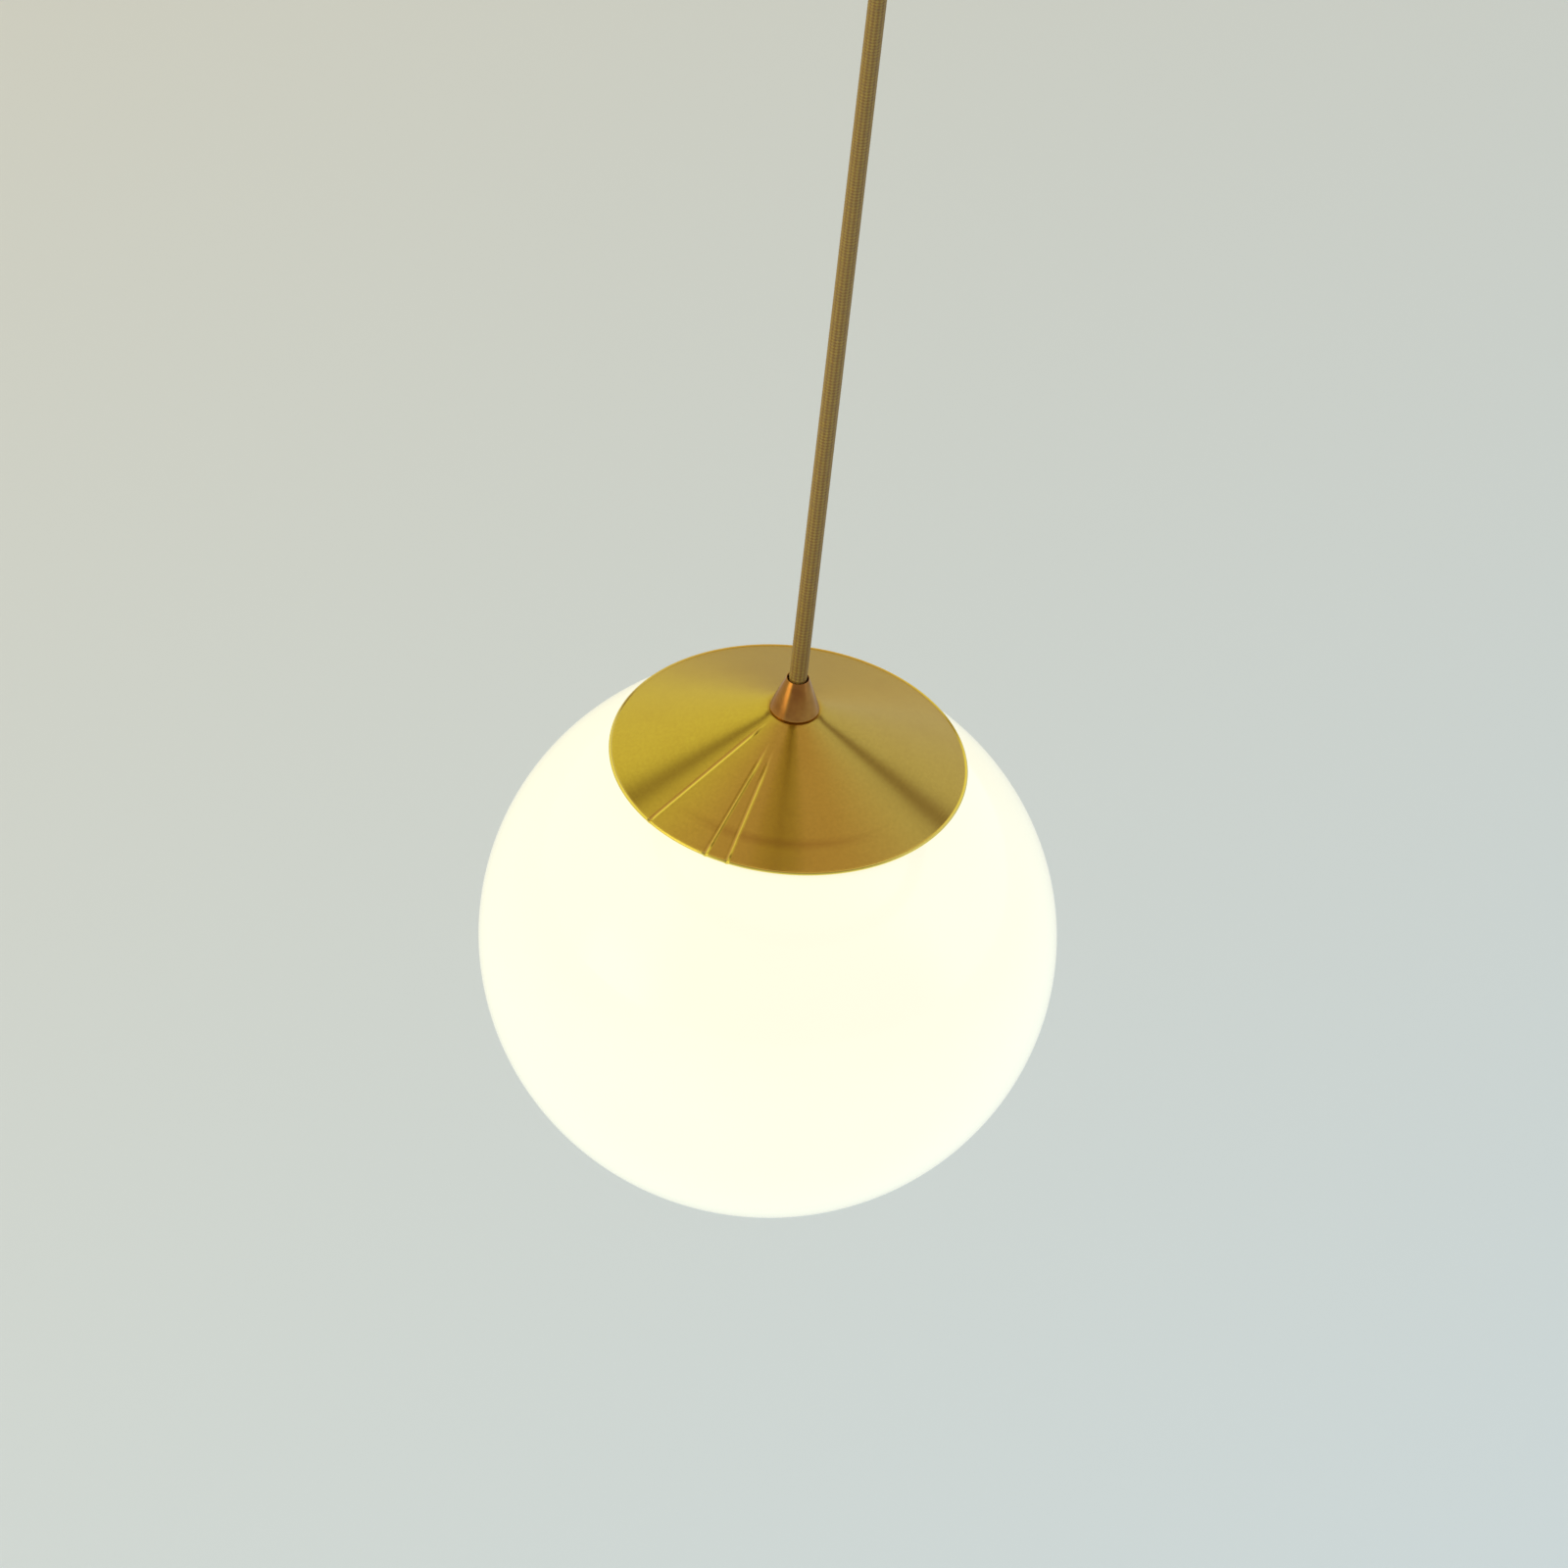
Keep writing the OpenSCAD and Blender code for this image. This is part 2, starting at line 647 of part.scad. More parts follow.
ceiling_bracket();
ceiling_canopy();
canopy_side_screws();
earth_screw();
terminal_block();
terminal_sleeves();
terminal_screws();
terminal_block_screw();
canopy_nipple();
canopy_washer();
canopy_nut();
canopy_cord_grip();
canopy_grip_screw();
canopy_wire_brown();
canopy_wire_blue();
canopy_wire_earth();
cord_canopy_end();
cord_neck_top();
cord();
cord_neck_bottom();
cord_lamp_end();
lamp_cord_grip();
lamp_grip_screw();
brass_cap();
cap_washer();
cap_nut();
lamp_nipple();
gallery_plate();
gallery_nut();
leaf_spring_1();
leaf_spring_2();
leaf_spring_3();
spring_rivets();
holder_cap();
holder_body();
holder_insulator();
holder_thread_shell();
centre_contact();
holder_terminal_screws();
lamp_wire_brown();
lamp_wire_blue();
lamp_wire_earth();
glass_globe();
rim_gasket();
bulb_base_shell();
bulb_insulator();
bulb_contact();
bulb_collar();
bulb_led_board();
bulb_driver_board();
bulb_envelope();
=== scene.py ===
import json
import math

import bmesh
import bpy
from mathutils import Matrix, Vector


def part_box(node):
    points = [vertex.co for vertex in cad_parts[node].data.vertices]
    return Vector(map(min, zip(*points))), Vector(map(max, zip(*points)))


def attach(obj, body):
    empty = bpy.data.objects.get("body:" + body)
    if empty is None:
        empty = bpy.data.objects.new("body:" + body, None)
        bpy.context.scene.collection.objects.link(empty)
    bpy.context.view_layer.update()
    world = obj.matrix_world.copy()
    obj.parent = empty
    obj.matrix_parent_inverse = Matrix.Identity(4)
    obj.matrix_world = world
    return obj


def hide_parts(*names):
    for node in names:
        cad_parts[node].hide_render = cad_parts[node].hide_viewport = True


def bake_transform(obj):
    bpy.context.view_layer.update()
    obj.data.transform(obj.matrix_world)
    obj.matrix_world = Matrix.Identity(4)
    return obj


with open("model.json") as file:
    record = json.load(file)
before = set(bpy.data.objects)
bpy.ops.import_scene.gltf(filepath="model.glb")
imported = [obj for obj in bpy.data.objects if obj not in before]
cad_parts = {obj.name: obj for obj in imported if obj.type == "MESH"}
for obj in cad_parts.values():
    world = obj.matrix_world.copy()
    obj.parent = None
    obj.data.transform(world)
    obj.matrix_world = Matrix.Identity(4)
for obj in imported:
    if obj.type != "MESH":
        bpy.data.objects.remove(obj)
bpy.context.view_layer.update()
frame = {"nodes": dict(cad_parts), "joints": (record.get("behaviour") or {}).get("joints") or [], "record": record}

# ---- Places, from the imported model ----

MM = 0.001
JOINTS = {j["name"]: j for j in frame["joints"]}
TOP_PIVOT = JOINTS["swing_side"]["pos_m"][2]      # mouth of the canopy's cord grip
LAMP_PIVOT = JOINTS["head_tilt"]["pos_m"][2]      # mouth of the lamp's cord grip
CORD_D = 6.2 * MM


def low(node):
    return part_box(node)[0]


def high(node):
    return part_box(node)[1]


def radius(node):
    lo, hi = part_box(node)
    return (hi.x - lo.x) / 2


GLOBE_R = radius("glass_globe")
GLOBE_FLATNESS = 0.96
GLASS_T = 3 * MM
GLOBE_Z = low("glass_globe").z + GLOBE_R * GLOBE_FLATNESS
MOUTH_R = 54 * MM
CAP_R = radius("brass_cap")
CAP_SEAT_R = 9.5 * MM
CAP_T = 0.9 * MM
GRIP_H = high("lamp_cord_grip").z - low("lamp_cord_grip").z

# ---- The camera, at the photograph's viewing angle ----

LENS = 330.8
CAMERA_DISTANCE = 49.8 * GLOBE_R
CAMERA_ELEVATION = math.radians(39.2)
CAMERA_ROLL = math.radians(6.7)
GLOBE_RIGHT = -0.0104        # the globe's middle in the picture, as a share of its side from the centre
GLOBE_UP = -0.0963
SENSOR = 36.0
NEAREST, FARTHEST = 0.1, 60  # what the camera can see, in metres


def make_camera():
    data = bpy.data.cameras.new("camera")
    data.lens, data.sensor_width = LENS, SENSOR
    data.clip_start, data.clip_end = NEAREST, FARTHEST
    camera = bpy.data.objects.new("camera", data)
    bpy.context.scene.collection.objects.link(camera)
    back = Vector((0, -math.cos(CAMERA_ELEVATION), math.sin(CAMERA_ELEVATION)))
    turn = (-back).to_track_quat("-Z", "Y").to_matrix() @ Matrix.Rotation(CAMERA_ROLL, 3, "Z")
    right, up = turn @ Vector((1, 0, 0)), turn @ Vector((0, 1, 0))
    # A picture's side is SENSOR / LENS wide at a distance of one
    side = CAMERA_DISTANCE * SENSOR / LENS
    globe = Vector((0, 0, GLOBE_Z))
    place = globe + back * CAMERA_DISTANCE - (right * GLOBE_RIGHT + up * GLOBE_UP) * side
    camera.matrix_world = Matrix.Translation(place) @ turn.to_4x4()
    bpy.context.scene.camera = camera


make_camera()

# ---- Nodes of a material ----


class Nodes:
    """Short calls that add nodes to the tree of a material or of the world."""

    def __init__(self, tree):
        self.tree = tree

    def add(self, kind, inputs=(), **settings):
        node = self.tree.nodes.new(kind)
        for key, value in settings.items():
            setattr(node, key, value)
        for key, value in dict(inputs).items():
            self.put(node.inputs[key], value)
        return node

    def put(self, socket, value):
        if isinstance(value, bpy.types.NodeSocket):
            self.tree.links.new(value, socket)
        else:
            socket.default_value = value

    def math(self, operation, a, b=0.0, c=0.0):
        return self.add("ShaderNodeMath", {0: a, 1: b, 2: c}, operation=operation).outputs[0]

    def place(self):
        return self.add("ShaderNodeTexCoord").outputs["Object"]

    def axes(self):
        split = self.add("ShaderNodeSeparateXYZ", {0: self.place()})
        return split.outputs[0], split.outputs[1], split.outputs[2]

    def polar(self):
        """Distance from the lamp's axis, angle round it, and height."""
        x, y, z = self.axes()
        r = self.math("SQRT", self.math("ADD", self.math("MULTIPLY", x, x), self.math("MULTIPLY", y, y)))
        return r, self.math("ARCTAN2", y, x), z

    def vector(self, x, y, z):
        return self.add("ShaderNodeCombineXYZ", {0: x, 1: y, 2: z}).outputs[0]

    def noise(self, vector, scale, detail=2.0, roughness=0.5):
        inputs = {"Vector": vector, "Scale": scale, "Detail": detail, "Roughness": roughness}
        return self.add("ShaderNodeTexNoise", inputs).outputs["Fac"]

    def ramp(self, value, low_in, high_in, low_out=0.0, high_out=1.0):
        inputs = {0: value, 1: low_in, 2: high_in, 3: low_out, 4: high_out}
        return self.add("ShaderNodeMapRange", inputs, clamp=True).outputs[0]

    def mix(self, share, a, b):
        node = self.add("ShaderNodeMix", data_type="RGBA")
        self.put(node.inputs[0], share)
        self.put(node.inputs[6], a)
        self.put(node.inputs[7], b)
        return node.outputs[2]


class Shader(Nodes):
    """A material with a Principled BSDF."""

    def __init__(self, name, **sockets):
        self.material = bpy.data.materials.new(name)
        self.material.use_nodes = True
        super().__init__(self.material.node_tree)
        self.bsdf = self.tree.nodes["Principled BSDF"]
        for socket, value in sockets.items():
            self.bsdf.inputs[socket.replace("_", " ")].default_value = value

    def color(self, value):
        self.put(self.bsdf.inputs["Base Color"], value)

    def rough(self, value):
        self.put(self.bsdf.inputs["Roughness"], value)

    def glow(self, color, strength):
        self.put(self.bsdf.inputs["Emission Color"], color)
        self.put(self.bsdf.inputs["Emission Strength"], strength)

    def bump(self, height, distance, strength=1.0):
        inputs = {"Height": height, "Distance": distance, "Strength": strength}
        self.put(self.bsdf.inputs["Normal"], self.add("ShaderNodeBump", inputs).outputs[0])


def rgb(r, g, b):
    return (r, g, b, 1.0)


# ---- Materials ----

# Degrees from the front towards -X, relative depth, and the radius where each crease begins
CREASES = [(46.6, 1.0, 13 * MM), (23.4, 1.0, 20 * MM), (15.9, 0.95, 22 * MM)]
CREASE_BLUR = 9 * MM         # length in which a crease fades in
# Where a faint dark reflection is painted on the cap: a ring near the rim, only in front
PAINTED_ARC_R = 0.83 * CAP_R
PAINTED_ARC_WIDTH = 2.6 * MM
BRASS_DARK, BRASS_LIGHT = rgb(0.575, 0.42, 0.060), rgb(0.605, 0.445, 0.070)
# The second colour on the next line is the painted dark reflection near the rim.
BRASS_PATINA, BRASS_PAINTED_ARC = rgb(0.48, 0.31, 0.045), rgb(0.36, 0.19, 0.03)
# The second colour on the next line is the painted highlight on the rim's edge and the creases.
BRASS_GRAIN, BRASS_HIGHLIGHT = rgb(0.30, 0.17, 0.02), rgb(0.92, 0.74, 0.14)


def spun_brass():
    """Satin brass, brushed in circles: the light on it spreads from the middle to the rim."""
    s = Shader("spun_brass", Metallic=1.0, Anisotropic=0.9, Anisotropic_Rotation=0.25)
    r, angle, z = s.polar()
    rings = s.noise(s.vector(s.math("MULTIPLY", r, 1600), s.math("MULTIPLY", angle, 0.7), z), 2.4, 3, 0.65)
    patina = s.noise(s.place(), 38, 4, 0.6)
    grain = s.noise(s.place(), 900, 2)
    tone = s.mix(s.ramp(rings, 0.3, 0.7), BRASS_DARK, BRASS_LIGHT)
    tone = s.mix(s.ramp(patina, 0.5, 0.8, 0, 0.3), tone, BRASS_PATINA)
    # A faint painted dark reflection: a ring near the rim, only in front
    off_ring = s.math("ABSOLUTE", s.math("SUBTRACT", r, PAINTED_ARC_R))
    in_front = s.ramp(s.math("SINE", angle), -0.98, -0.72, 1.0, 0.0)
    painted_arc = s.math("MULTIPLY", s.ramp(off_ring, 0.0, PAINTED_ARC_WIDTH, 0.42, 0.0), in_front)
    tone = s.mix(painted_arc, tone, BRASS_PAINTED_ARC)
    tone = s.mix(s.ramp(grain, 0.35, 0.65, 0.0, 0.10), tone, BRASS_GRAIN)
    # Painted highlights: the edge of the rim and the creases are painted bright
    painted_highlight = s.ramp(r, CAP_R - 1.3 * MM, CAP_R - 0.5 * MM)
    for degrees, share, inner_r in CREASES:
        away = s.math("ABSOLUTE", s.math("ADD", angle, math.radians(90 + degrees)))
        line = s.ramp(s.math("MULTIPLY", away, r), 0.1 * MM, 0.65 * MM, 0.9 * share, 0.0)
        begins = s.ramp(r, inner_r - 3 * MM, inner_r + CREASE_BLUR)
        painted_highlight = s.math("MAXIMUM", painted_highlight, s.math("MULTIPLY", line, begins))
    s.color(s.mix(painted_highlight, tone, BRASS_HIGHLIGHT))
    s.rough(s.ramp(s.math("ADD", rings, s.math("MULTIPLY", patina, 0.3)), 0.3, 0.95, 0.205, 0.225))
    tangent = s.add("ShaderNodeTangent", direction_type="RADIAL", axis="Z")
    s.put(s.bsdf.inputs["Tangent"], tangent.outputs[0])
    s.bump(rings, 0.00001, 0.03)
    return s.material


def turned_metal(name, dark, light, roughness, line=0.25):
    """Metal turned on a lathe about the lamp's axis, with fine tool lines."""
    s = Shader(name, Metallic=1.0)
    r, _, z = s.polar()
    lines = s.noise(s.vector(s.math("MULTIPLY", r, 900), s.math("MULTIPLY", z, 2600), 0.0), 1.5, 2, 0.6)
    spots = s.noise(s.place(), 120, 3, 0.6)
    s.color(s.mix(s.ramp(s.math("ADD", lines, spots), 0.7, 1.3), rgb(*dark), rgb(*light)))
    s.rough(s.ramp(spots, 0.3, 0.7, roughness * 0.85, roughness * 1.2))
    s.bump(lines, 0.00002, line)
    return s.material


def copper_bronze():
    """Polished copper-brown metal under a thin lacquer."""
    s = Shader("copper_bronze", Metallic=1.0, Coat_Weight=0.15, Coat_Roughness=0.08)
    r, _, z = s.polar()
    lines = s.noise(s.vector(s.math("MULTIPLY", r, 700), s.math("MULTIPLY", z, 2400), 0.0), 1.5, 2, 0.6)
    cloud = s.noise(s.place(), 160, 3, 0.6)
    s.color(s.mix(s.ramp(cloud, 0.35, 0.7), rgb(0.42, 0.18, 0.038), rgb(0.55, 0.26, 0.055)))
    s.rough(s.ramp(cloud, 0.3, 0.7, 0.15, 0.21))
    s.bump(lines, 0.00002, 0.2)
    return s.material


def plated_steel(name, tone, roughness):
    """Zinc plate: a faint crystal cloud, a little warmer and cooler by turns."""
    s = Shader(name, Metallic=1.0)
    cells = s.add("ShaderNodeTexVoronoi", {"Vector": s.place(), "Scale": 420.0}).outputs["Distance"]
    cloud = s.noise(s.place(), 90, 3)
    dark = rgb(*[c * 0.82 for c in tone])
    warm = rgb(min(1, tone[0] * 1.1), tone[1] * 1.03, tone[2] * 0.92)
    s.color(s.mix(s.ramp(s.math("ADD", cells, cloud), 0.4, 1.1), dark, warm))
    s.rough(s.ramp(cloud, 0.3, 0.7, roughness * 0.8, roughness * 1.25))
    s.bump(cells, 0.00002, 0.2)
    return s.material


def opal_glass():
    """Flashed opal, with a painted glow that stands for the bulb's light coming through it, a little warmer
    towards the top and bottom. Its clear outer skin is what shines and darkens at the edge.
    """
    s = Shader("opal_glass", Roughness=0.35, Coat_Weight=0.8, Coat_Roughness=0.04, Coat_IOR=1.45)
    cloud = s.noise(s.place(), 14, 3, 0.5)
    z = s.axes()[2]
    s.color(rgb(0.13, 0.125, 0.10))
    # Painted glow, a little warmer towards the top and bottom than at the middle
    warm = s.ramp(s.math("ABSOLUTE", s.math("SUBTRACT", z, GLOBE_Z)), 0.0, GLOBE_R)
    glow = s.mix(warm, rgb(1.0, 0.995, 0.80), rgb(1.0, 0.98, 0.765))
    s.glow(glow, s.ramp(cloud, 0.3, 0.7, 0.915, 0.93))
    s.bump(s.noise(s.place(), 30, 1), 0.0003, 0.03)
    return s.material


def bulb_opal():
    """Frosted glass, lit, and a little warmer near its collar."""
    s = Shader("bulb_opal", Roughness=0.55)
    z = s.axes()[2]
    middle = (low("bulb_envelope").z + high("bulb_envelope").z) / 2
    s.color(rgb(0.55, 0.53, 0.48))
    glow = s.mix(s.ramp(z, middle - 0.03, middle + 0.03), rgb(1.0, 0.97, 0.84), rgb(1.0, 0.93, 0.74))
    s.glow(glow, s.ramp(s.noise(s.place(), 40, 2), 0.3, 0.7, 0.55, 0.62))
    s.bump(s.noise(s.place(), 1800, 2), 0.00002, 0.3)
    return s.material


def plastic(name, dark, light, roughness, grain=1500.0, **sockets):
    """Moulded plastic: a fine spark-eroded grain and faint flow marks."""
    s = Shader(name, **sockets)
    flow = s.noise(s.place(), 60, 3, 0.6)
    fine = s.noise(s.place(), grain, 2)
    s.color(s.mix(s.ramp(flow, 0.35, 0.7), rgb(*dark), rgb(*light)))
    s.rough(s.ramp(s.math("ADD", flow, fine), 0.7, 1.3, roughness * 0.85, roughness * 1.15))
    s.bump(fine, 0.00002, 0.3)
    return s.material


def striped_wire(name, ground, stripe):
    """Two-coloured insulation, striped along the wire."""
    s = Shader(name, Roughness=0.32, Coat_Weight=0.2)
    x, y, _ = s.axes()
    wave = s.math("SINE", s.math("MULTIPLY", s.math("ADD", x, s.math("MULTIPLY", y, 0.4)), 3600))
    s.color(s.mix(s.ramp(wave, 0.1, 0.3), rgb(*ground), rgb(*stripe)))
    s.bump(s.noise(s.place(), 900, 2), 0.00002, 0.3)
    return s.material


BRAID_PITCH = 15.0 * MM      # length of cord in which a strand goes once round
STRANDS = 12                 # strands that turn each way


def textile_cord():
    """Satin rayon in two golds; the relief of the braid is in the mesh, and the filaments are here."""
    s = Shader("textile_cord", Sheen_Weight=0.12, Sheen_Roughness=0.35, Specular_IOR_Level=0.4)
    s.bsdf.inputs["Sheen Tint"].default_value = rgb(0.90, 0.65, 0.25)
    _, angle, z = s.polar()
    turns = s.math("MULTIPLY", angle, STRANDS / math.tau)
    along = s.math("MULTIPLY", z, STRANDS / BRAID_PITCH)
    left, right = s.math("ADD", turns, along), s.math("SUBTRACT", turns, along)
    cell = s.math("ADD", s.math("FLOOR", left), s.math("FLOOR", right))
    over = s.math("FLOORED_MODULO", cell, 2.0)
    filaments = s.mix(over, s.vector(s.math("MULTIPLY", right, 9), s.math("MULTIPLY", left, 0.8), 0.0),
                      s.vector(s.math("MULTIPLY", left, 9), s.math("MULTIPLY", right, 0.8), 0.0))
    fine = s.noise(filaments, 1.6, 2, 0.6)
    shade = s.noise(s.vector(s.math("MULTIPLY", left, 0.5), s.math("MULTIPLY", right, 0.5), 0.0), 1.0, 2)
    tone = s.mix(over, rgb(0.27, 0.145, 0.024), rgb(0.42, 0.285, 0.050))
    tone = s.mix(s.ramp(fine, 0.35, 0.65), s.mix(0.45, tone, rgb(0.10, 0.055, 0.018)), tone)
    s.color(s.mix(s.ramp(shade, 0.4, 0.7, 0, 0.4), tone, rgb(0.20, 0.12, 0.045)))
    s.rough(s.ramp(fine, 0.3, 0.7, 0.52, 0.38))
    s.bump(fine, 0.00006, 0.6)
    return s.material


MATERIALS = {
    "satin_brass": spun_brass(),
    "copper_bronze": copper_bronze(),
    "textile_cord": textile_cord(),
    "opal_glass": opal_glass(),
    "bulb_opal": bulb_opal(),
    "silicone": plastic("silicone", (0.62, 0.58, 0.42), (0.74, 0.70, 0.54), 0.45, 700.0,
                        Subsurface_Weight=0.1),
    "zinc_steel": plated_steel("zinc_steel", (0.60, 0.61, 0.62), 0.30),
    "spring_steel": plated_steel("spring_steel", (0.36, 0.39, 0.46), 0.22),
    "contact_brass": turned_metal("contact_brass", (0.60, 0.42, 0.14), (0.78, 0.60, 0.24), 0.22),
    "nickel_shell": turned_metal("nickel_shell", (0.56, 0.55, 0.52), (0.70, 0.69, 0.66), 0.20),
    "black_phenolic": plastic("black_phenolic", (0.012, 0.012, 0.013), (0.022, 0.021, 0.020), 0.32),
    "black_glass": plastic("black_glass", (0.010, 0.010, 0.012), (0.018, 0.018, 0.022), 0.12),
    "steatite": plastic("steatite", (0.66, 0.61, 0.52), (0.76, 0.72, 0.63), 0.60, 1100.0),
    "white_plastic": plastic("white_plastic", (0.66, 0.655, 0.63), (0.74, 0.735, 0.71), 0.40),
    "board_white": plastic("board_white", (0.62, 0.62, 0.58), (0.72, 0.72, 0.68), 0.35),
    "board_green": plastic("board_green", (0.025, 0.11, 0.04), (0.04, 0.16, 0.06), 0.30),
    "brown_wire": plastic("brown_wire", (0.09, 0.035, 0.014), (0.13, 0.05, 0.02), 0.33),
    "blue_wire": plastic("blue_wire", (0.02, 0.07, 0.30), (0.03, 0.10, 0.38), 0.33),
    "earth_wire": striped_wire("earth_wire", (0.06, 0.28, 0.03), (0.70, 0.58, 0.05)),
}
SLOT_OF = {part["node"]: part["material_slot"] for part in frame["record"]["subparts"]}
BODY_OF = {node: body for body, nodes in frame["record"]["behaviour"]["bodies"].items() for node in nodes}
for name, cad_object in frame["nodes"].items():
    for slot in cad_object.material_slots:
        slot.material = MATERIALS[SLOT_OF[name]]

# ---- Meshes ----


def make_piece(name, points, faces, slot, body, *nodes, smooth=40.0):
    """A mesh that rides on a body and stands for CAD nodes. Edges sharper than smooth stay crisp."""
    mesh = bpy.data.meshes.new(name)
    mesh.from_pydata(points, [], faces)
    mesh.materials.append(MATERIALS[slot])
    mesh.validate()
    mesh.shade_smooth()
    mesh.set_sharp_from_angle(angle=math.radians(smooth))
    piece = bpy.data.objects.new(name, mesh)
    bpy.context.scene.collection.objects.link(piece)
    if body:
        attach(piece, body)
    if nodes:
        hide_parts(*nodes)
    return piece


def rounded(corners, size, steps):
    """A closed outline with small arcs for corners. A corner is (r, z) or (r, z, its own size)."""
    outline = []
    count = len(corners)
    for i, corner in enumerate(corners):
        here = Vector(corner[:2])
        before = Vector(corners[i - 1][:2]) - here
        after = Vector(corners[(i + 1) % count][:2]) - here
        reach = corner[2] if len(corner) > 2 else size
        reach = min(reach, before.length * 0.45, after.length * 0.45)
        if reach < 1e-7 or here.x < 1e-9:
            outline.append(here)
            continue
        a, b = here + before.normalized() * reach, here + after.normalized() * reach
        for k in range(steps + 1):
            t = k / steps
            outline.append(a * (1 - t) ** 2 + here * 2 * t * (1 - t) + b * t * t)
    return outline


def lathe(name, outline, slot, body, *nodes, steps=96, change=None, smooth=40.0):
    """A closed outline of (r, z) turned about the lamp's axis. change(r, angle, z) may move each point."""
    points, faces = [], []
    count = len(outline)
    angles = steps if isinstance(steps, list) else [math.tau * k / steps for k in range(steps)]
    turns = len(angles)
    for angle in angles:
        for r, z in outline:
            spot = change(r, angle, z) if change else (r, z)
            points.append((spot[0] * math.cos(angle), spot[0] * math.sin(angle), spot[1]))
    for k in range(turns):
        following = (k + 1) % turns
        for i in range(count):
            j = (i + 1) % count
            if outline[i][0] < 1e-9 and outline[j][0] < 1e-9:
                continue
            faces.append([k * count + i, k * count + j, following * count + j, following * count + i])
    piece = make_piece(name, points, faces, slot, body, *nodes, smooth=smooth)
    weld(piece.data)
    return piece


def weld(mesh, distance=1e-7):
    """Joins the points that fall together on the axis, and turns every face outwards."""
    work = bmesh.new()
    work.from_mesh(mesh)
    bmesh.ops.remove_doubles(work, verts=work.verts, dist=distance)
    bmesh.ops.recalc_face_normals(work, faces=work.faces)
    work.to_mesh(mesh)
    work.free()


def ellipse(rx, rz, start, end, steps, z=0.0):
    """Points of an ellipse's arc about height z, with its angles in degrees from the horizontal."""
    spots = []
    for k in range(steps + 1):
        a = math.radians(start + (end - start) * k / steps)
        spots.append(Vector((rx * math.cos(a), z + rz * math.sin(a))))
    return spots


# ---- The glass globe ----

LIP_BULGE = 0.8 * MM
GLOBE_STEPS = 110            # along an arc, from the bottom to the mouth


def glass_globe():
    """An even wall, with a fire-polished lip that is a little thicker than the wall."""
    rz = GLOBE_R * GLOBE_FLATNESS
    inner_r, inner_rz = GLOBE_R - GLASS_T, rz - GLASS_T
    outer_stop = math.degrees(math.acos((MOUTH_R + 0.9 * MM) / GLOBE_R))
    inner_stop = math.degrees(math.acos((MOUTH_R + 1.0 * MM) / inner_r))
    outer = ellipse(GLOBE_R, rz, -90, outer_stop, GLOBE_STEPS, GLOBE_Z)
    inner = ellipse(inner_r, inner_rz, inner_stop, -90, GLOBE_STEPS, GLOBE_Z)
    top, bottom = outer[-1], inner[0]
    lip = []
    for k in range(1, 10):
        t = k / 10
        bulge = math.sin(math.pi * t)
        lip.append(top.lerp(bottom, t) + Vector((-LIP_BULGE, 0)) * bulge ** 0.6)
    outer[0].x = inner[-1].x = 0.0
    lathe("opal_globe", outer + lip + inner, "opal_glass", "globe", "glass_globe", steps=192)


glass_globe()

# ---- The brass cap ----

CREASE_DEPTH = 0.20 * MM
CREASE_WIDTH = 1.0 * MM
NICK_LENGTH = 3 * MM         # from where a crease deepens to the rim
NICK_DEPTH = 1.8             # how much deeper a nick is, in crease depths
CAP_STEPS = 240
CREASE_STEPS = 15            # close steps on each side of a crease
CREASE_STEP = 0.0032         # their size in radians
CAP_HOLE_R = 5.2 * MM
BEAD_R = 0.75 * MM           # of the rolled rim
CAP_RINGS = 30


def crease_angle(degrees):
    return (-math.pi / 2 - math.radians(degrees)) % math.tau


def cap_dent(r, angle):
    """How far the sheet is pressed in at a place: three shallow creases that end in nicks at the rim."""
    dent = 0.0
    for degrees, share, inner_r in CREASES:
        away = (angle - crease_angle(degrees) + math.pi) % math.tau - math.pi
        side = abs(away) * r / CREASE_WIDTH
        if side < 1 and r > inner_r:
            fade = min(1.0, (r - inner_r) / CREASE_BLUR)
            nick = 1.0 + NICK_DEPTH * max(0.0, (r - (CAP_R - NICK_LENGTH)) / NICK_LENGTH)
            dent += share * CREASE_DEPTH * fade * nick * (1 - side)
    return dent


def cap_angles():
    """Even steps round the cap, and close ones across each crease."""
    angles = {round(math.tau * k / CAP_STEPS, 6) for k in range(CAP_STEPS)}
    for degrees, _, _ in CREASES:
        for k in range(-CREASE_STEPS, CREASE_STEPS + 1):
            angles.add(round((crease_angle(degrees) + k * CREASE_STEP) % math.tau, 6))
    return sorted(angles)


